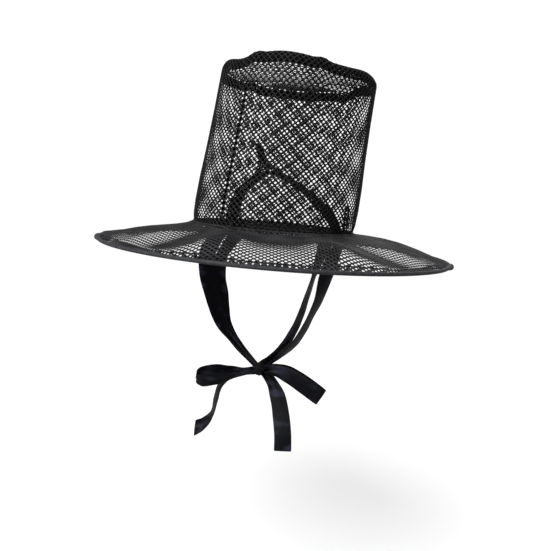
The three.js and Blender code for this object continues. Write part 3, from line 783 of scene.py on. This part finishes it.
rightTail = [
    (-0.6, -4.6, -168.2, -50, 0, 6), (-2.8, -5, -171, -48, 0, 6.4), (-15, -9, -175, -44, 0, 11),
    (-28.5, -16, -183, -30, 20, 14), (-38.5, -23.5, -190, -22, 0, 15),
    (-42.5, -26.5, -198, -24, 0, 17), (-41.5, -31, -210, -26, 0, 20),
    (-38, -37.6, -224, -33, 0, 20), (-40, -46.5, -235.3, -38, -30, 17),
    (-45.8, -57.2, -243, -38, -72, 15.5),
]


def mirrored(run, end):
    # the same run on the right side, whose end is mirrored about the knot
    def flip(rows, twice):
        return [(twice - x, y, z, 180 - edge, tilt, width) for x, y, z, edge, tilt, width in rows]

    return flip(run + end[:1], 0) + flip(end[1:], 2 * knotCentre[0])


print("ribbon: runs, loops and free ends")
runs = [
    # name, node, rows, phase of the pleats
    ("ribbonLeftFront", "ribbon_left_front", frontRun + overKnot, 0.4),
    ("ribbonLeftBack", "ribbon_left_back", backRun + leftBackEnd, 1.1),
    ("ribbonRightFront", "ribbon_right_front", mirrored(frontRun, leftFrontEnd), 2.0),
    ("ribbonRightBack", "ribbon_right_back", mirrored(backRun, leftBackEnd), 2.6),
]
for name, node, rows, phase in runs:
    makeRibbon(name, node, rows, 0.6, phase)
makeRibbon("bowLoopRight", "bow_loop_right", openLoop, 0.4, 0.2)
makeRibbon("bowLoopLeft", "bow_loop_left", flatLoop, -0.8, 0.9)
makeRibbon("bowTailRight", "bow_tail_right", rightTail, 0.5, 1.5, cut=2.2)
makeRibbon("bowTailLeft", "bow_tail_left", leftTail, 0.5, 0.3)


# knot
knot = {
    "radius": 7, "half": 0.8, "heading": 26, "around": 64, "rings": 20,
    "profile": [(-0.8, 0.5), (-0.62, 0.78), (-0.4, 0.92), (-0.1, 0.98), (0.2, 0.95), (0.48, 0.86),
                (0.7, 0.7), (0.8, 0.5)],
    "endRim": 0.35, "endSink": 0.25, "foldDepth": 0.055, "squash": 0.12, "uvCube": 0.01,
}


def makeKnot():
    startPiece()
    bpy.ops.mesh.primitive_cylinder_add(vertices=knot["around"], radius=1, depth=2,
                                        end_fill_type="NGON")
    piece = bpy.context.object
    piece.name = "chinKnot"
    cutRings(piece, 2, knot["rings"])
    selectOnly(piece, "FACE", lambda face: abs(face.normal.z) > 0.9)       # its two ends
    bpy.ops.mesh.inset(thickness=knot["endRim"], depth=-knot["endSink"])
    bpy.ops.mesh.poke()
    bpy.ops.object.mode_set(mode="OBJECT")
    points = readPoints(piece)
    ring = np.hypot(points[:, 0], points[:, 1])
    turn = np.arctan2(points[:, 1], points[:, 0])
    along = np.clip(points[:, 2], -1, 1) * knot["half"]
    radius = table(knot["profile"], along) * ring
    # wound folds: a coarse and a fine set of ridges that run round the knot and drift along it
    coarse = np.sin(along * 15 + 0.9 * np.sin(turn) + 0.5)
    fine = 0.5 * np.sin(along * 27 - 1.4 * np.cos(turn))
    radius *= 1 + knot["foldDepth"] * (coarse + fine) * (ring > 0.9)
    radius *= 1 - knot["squash"] * np.cos(2 * turn + 0.6)
    local = np.stack([along, np.cos(turn) * radius, np.sin(turn) * radius], axis=1) * knot["radius"]
    spin = np.array(Matrix.Rotation(math.radians(knot["heading"]), 3, "Z"))
    writePoints(piece, (local @ spin.T + np.array(knotCentre)) * mm)
    bpy.ops.object.mode_set(mode="EDIT")
    bpy.ops.mesh.select_all(action="SELECT")
    bpy.ops.mesh.normals_make_consistent(inside=False)
    bpy.ops.uv.cube_project(cube_size=knot["uvCube"], scale_to_bounds=False)
    bpy.ops.object.mode_set(mode="OBJECT")
    remapUv(piece, lambda uv: uv * knot["uvCube"])
    applyModifier(piece, "SUBSURF", levels=1, render_levels=1)
    bpy.ops.object.shade_smooth()
    finishPiece(piece, satinRibbon, "chin_knot")


print("knot")
makeKnot()


# head strap, tab and loop
strap = {
    "width": 16, "layers": 3, "layerGap": 0.45 * mm, "columns": 3, "cell": 5.4, "bulge": 2.6,
    "perSpan": 3,
    # rows of x, y, z in millimetres, edge and tilt in degrees, from the middle to the left end
    "half": [
        (2.4, -11.2, 60.6, 90, 6), (14.8, -10.4, 57.6, 90.8, 4), (26.7, -8.9, 53, 91.9, 2),
        (37, -7.2, 48.2, 92.7, 1), (46.6, -5.1, 43, 93.4, 2), (55.2, -2.8, 37.4, 94.1, 4),
        (63, -0.4, 31.6, 94.7, 7), (69.9, 2.4, 25.4, 95.2, 10.4), (75.9, 5.2, 18, 95.7, 6.4),
        (79.8, 7.2, 12.5, 96, 3.8), (83.4, 9.3, 7, 96.4, 0.5), (83.9, 9.7, 6, 96.4, 0),
        (84.7, 9.7, 1.3, 96.4, 0),
    ],
}


def strapRows():
    # the middle lies a little to the left, the two ends lie alike
    left = strap["half"]
    middle = left[0][0]
    reach = left[-1][0] - middle
    right = [(2 * middle * (1 - (x - middle) / reach) - x, y, z, 180 - edge, tilt)
             for x, y, z, edge, tilt in left[1:]]
    return [(*row, strap["width"]) for row in right[::-1] + left]


def layStrip(piece, points, path, length):
    # lays a flat piece along a path: x across from the middle, y along, z off the face
    frames = pathFrames(path)
    run = runAlong(frames[0])
    at = points[:, 1] / length * run[-1]
    centre, across, face = [
        np.stack([np.interp(at, run, part[:, k]) for k in range(3)], axis=1) for part in frames]
    writePoints(piece, centre + across * points[:, :1] + face * points[:, 2:])


def makeStrap():
    path = smoothPath(strapRows(), strap["perSpan"])
    length = float(runAlong(path[:, :3] * mm)[-1])
    rows = int(length / (strap["cell"] * mm))
    half = strap["width"] / 2 * mm
    layers = []
    for k in range(strap["layers"]):
        piece, points = netSheet(f"headStrap{k}", strap["columns"], rows, strap["width"] * mm,
                                 length, netting["strand"])
        points[:, 0] -= half
        points[:, 2] += (k - 1) * strap["layerGap"]
        if k == 1:                                           # turned round and shifted sideways
            points[:, 1] = length - points[:, 1]
            bulge = strap["bulge"] * mm * (1 - (points[:, 0] / half) ** 2)
            points[:, 0] = np.clip(points[:, 0] + bulge, -half, half)
        layStrip(piece, points, path, length)
        layers.append(piece)
    joinPieces(layers, "headStrap")
    finishPiece(layers[0], netFoldedPaintedShade, "head_strap")


tab = {
    "columns": 7, "rows": 8, "strand": 0.062, "relief": 18, "thickness": 1.0, "layerGap": 0.8,
    "place": (2.4, -11.2, 63.3), "reach": 28, "tall": 27, "footDrop": 6.2, "footEnd": 0.25,
    "leftEdge": [(0.05, 0.55), (0.13, 0.06), (0.25, -0.22), (0.58, -0.48), (1.0, -0.78)],
    "rightEdge": [(0.02, -0.95), (0.28, -0.78), (0.62, -0.92), (0.98, -1.06)],
}


def makeTab():
    # two layers of net, made on a unit square and drawn out to the tab's two edges
    layers = []
    for k in range(2):
        piece, points = netSheet(f"strapTab{k}", tab["columns"], tab["rows"], 1, 1, tab["strand"])
        share, up = points[:, 0], points[:, 1]
        if k:
            share = 1 - share
        left, right = table(tab["leftEdge"], up), table(tab["rightEdge"], up)
        x = right + (left - right) * share
        drop = tab["footDrop"] * x ** 2 * np.clip(1 - up / tab["footEnd"], 0, 1)
        depth = np.clip(points[:, 2] / netting["flatness"] * tab["relief"], -0.5, 0.5)
        y = depth * tab["thickness"] + (k - 0.5) * tab["layerGap"]
        local = np.stack([x * tab["reach"], y, up * tab["tall"] - drop], axis=1)
        writePoints(piece, (local + tab["place"]) * mm)
        layers.append(piece)
    joinPieces(layers, "strapTab")
    finishPiece(layers[0], netFoldedPaintedShade, "strap_tab")


# first and spread: where round the head opening it stands, in degrees
tape = {"thick": 1.95, "seat": 84.4, "first": 17.19, "spread": 7.94, "foot": 1.3, "height": 29}


def makeLoop():
    startPiece()
    half = tape["spread"] / 2
    arch = math.radians(half) * tape["seat"]
    top = tape["height"] - arch
    leg = (tape["foot"], top * 0.3, top * 0.6, top)
    rows = [(tape["first"], z) for z in leg]
    for turn in np.radians(range(20, 180, 20)):
        rows.append((tape["first"] + half - half * math.cos(turn), top + arch * math.sin(turn)))
    rows += [(tape["first"] + tape["spread"], z) for z in leg[::-1]]
    points = []
    for angle, z in rows:
        theta = math.radians(angle)
        x, y = tape["seat"] * math.cos(theta), tape["seat"] * math.sin(theta)
        points.append(Vector((x, y, z)) * mm)
    bpy.ops.curve.primitive_nurbs_path_add()
    path = bpy.context.object
    path.name = "strapLoop"
    path.data.splines.clear()
    spline = path.data.splines.new("POLY")
    spline.points.add(len(points) - 1)
    for target, point in zip(spline.points, points):
        target.co = (*point, 1)
    path.data.bevel_depth = tape["thick"] / 2 * mm
    path.data.bevel_resolution = 3
    path.data.use_fill_caps = True
    bpy.ops.object.convert(target="MESH")
    piece = bpy.context.object
    bpy.ops.object.shade_smooth()
    finishPiece(piece, netFoldedPaintedShade, "strap_loop")


print("head strap, tab and loop")
makeStrap()
makeTab()
makeLoop()


# stage, light and camera
stage = {"floorHeight": -0.42, "floorRadius": 12, "floorTone": 0.86, "floorBounce": 0.3,
         "seenAir": 1.1, "softLight": 0.3, "lampsAimAt": (0, 0, -0.03)}


def makeStage():
    startPiece()
    bpy.ops.mesh.primitive_circle_add(vertices=96, radius=stage["floorRadius"], fill_type="NGON",
                                      location=(0, 0, stage["floorHeight"]))
    floor = bpy.context.object
    floor.name = "studioFloor"
    material, nodes, links, shader = newMaterial("studioPaper")
    shader.inputs["Roughness"].default_value = 0.9
    shader.inputs["Specular IOR Level"].default_value = 0.1
    ray = nodes.new("ShaderNodeLightPath")
    tone = nodes.new("ShaderNodeMapRange")                   # paler to the eye than to the hat
    tone.inputs["To Min"].default_value = stage["floorBounce"]
    tone.inputs["To Max"].default_value = stage["floorTone"]
    links.new(ray.outputs["Is Camera Ray"], tone.inputs["Value"])
    links.new(tone.outputs["Result"], shader.inputs["Base Color"])
    floor.data.materials.append(material)
    # white air as the camera sees it, and softer as it lights the hat
    world = bpy.data.worlds.new("studioAir")
    bpy.context.scene.world = world
    world.use_nodes = True
    nodes, links = world.node_tree.nodes, world.node_tree.links
    soft = nodes["Background"]
    soft.inputs["Strength"].default_value = stage["softLight"]
    seen = nodes.new("ShaderNodeBackground")
    seen.inputs["Strength"].default_value = stage["seenAir"]
    for back in (soft, seen):
        back.inputs["Color"].default_value = (1, 1, 1, 1)
    path = nodes.new("ShaderNodeLightPath")
    mix = nodes.new("ShaderNodeMixShader")
    links.new(path.outputs["Is Camera Ray"], mix.inputs[0])
    links.new(soft.outputs[0], mix.inputs[1])
    links.new(seen.outputs[0], mix.inputs[2])
    links.new(mix.outputs[0], nodes["World Output"].inputs["Surface"])
    bpy.context.scene.view_settings.view_transform = "Standard"


keySun = {"place": (0.1, -1.0, 1.25), "strength": 3.6, "angle": 55}
lamps = [
    # name, place, size, watts
    ("frontLamp", (0.05, -1.0, 0.12), 0.45, 6),
    ("sideLamp", (1.5, 0.5, 0.7), 0.8, 4),
    ("backLamp", (-0.6, 1.6, 1.2), 1.0, 6),
]


def aimAtHat(lamp, place):
    toHat = Vector(stage["lampsAimAt"]) - Vector(place)
    lamp.rotation_euler = toHat.to_track_quat("-Z", "Y").to_euler()


def makeLamps():
    startPiece()
    bpy.ops.object.light_add(type="SUN", location=keySun["place"])
    sun = bpy.context.object
    sun.name = "keySun"
    sun.data.energy = keySun["strength"]
    sun.data.angle = math.radians(keySun["angle"])
    aimAtHat(sun, keySun["place"])
    for name, place, size, watts in lamps:
        startPiece()
        bpy.ops.object.light_add(type="AREA", location=place)
        lamp = bpy.context.object
        lamp.name = name
        lamp.data.energy = watts
        lamp.data.size = size
        aimAtHat(lamp, place)


view = {"azimuth": 45, "elevation": 8.19, "roll": 4.83, "distance": 632.8 * mm,
        "target": (5.12 * mm, 5.12 * mm, -55.13 * mm), "sensor": 36, "focalPixels": 554.1,
        "imageWide": 551, "near": 0.02, "far": 60}


def makeCamera():
    startPiece()
    azimuth, elevation = math.radians(view["azimuth"]), math.radians(view["elevation"])
    level = math.cos(elevation)
    back = Vector((math.sin(azimuth) * level, -math.cos(azimuth) * level, math.sin(elevation)))
    bpy.ops.object.camera_add(location=Vector(view["target"]) + back * view["distance"])
    camera = bpy.context.object
    camera.name = "photoCamera"
    camera.data.sensor_width = view["sensor"]
    camera.data.lens = view["focalPixels"] / view["imageWide"] * view["sensor"]
    camera.data.clip_start, camera.data.clip_end = view["near"], view["far"]
    roll = Matrix.Rotation(math.radians(view["roll"]), 3, "Z").to_quaternion()
    camera.rotation_mode = "QUATERNION"
    camera.rotation_quaternion = (-back).to_track_quat("-Z", "Y") @ roll
    bpy.context.scene.camera = camera


print("stage, lamps and camera")
makeStage()
makeLamps()
makeCamera()
